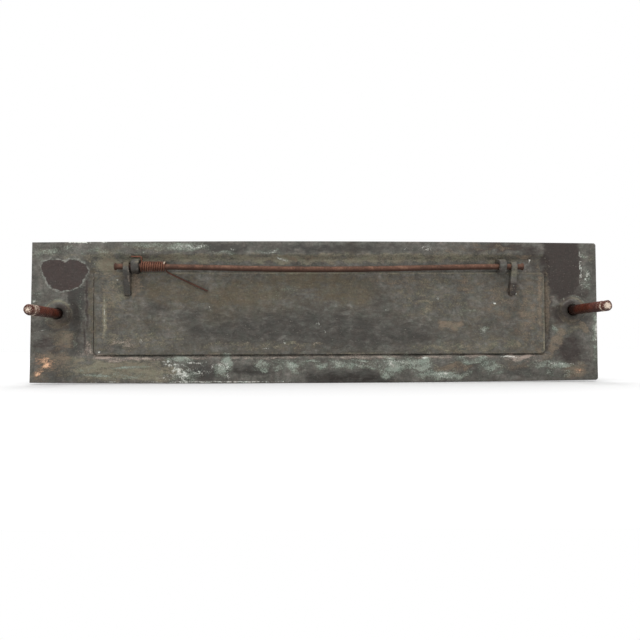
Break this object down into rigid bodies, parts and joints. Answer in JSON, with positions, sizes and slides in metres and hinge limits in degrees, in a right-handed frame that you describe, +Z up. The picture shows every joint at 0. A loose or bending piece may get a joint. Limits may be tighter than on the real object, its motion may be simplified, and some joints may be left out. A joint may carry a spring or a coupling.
{
  "type": "letter plate",
  "caption": "Long cast bronze letter plate with a spring-loaded inward flap on a hinge rod, with long fixing studs at its ends.",
  "frame": {"origin": "middle of the plate on its mounting face, between the two fixing studs", "axes": "+X along the plate, +Z up on the door, -Y into the door along the studs, +Y out to the street"},
  "size_m": [0.3556, 0.0628, 0.0888],
  "materials": {
    "bronze": "aged cast bronze with brown and green patina",
    "iron": "rusted iron"
  },
  "bodies": {
    "plate": {"face_plate": "bronze", "hinge_rod": "iron", "return_spring": "iron", "stud_left": "iron", "stud_right": "iron"},
    "flap": {"flap": "bronze"}
  },
  "joints": [
    {"name": "flap_hinge", "type": "hinge", "parent": "plate", "child": "flap", "pos_m": [0.00265, -0.0035, 0.02805], "axis": [-1, 0, 0], "range_deg": [0, 85], "stiffness_Nm_per_rad": 0.03, "springref_deg": -137.51, "deforming": ["return_spring"]}
  ]
}
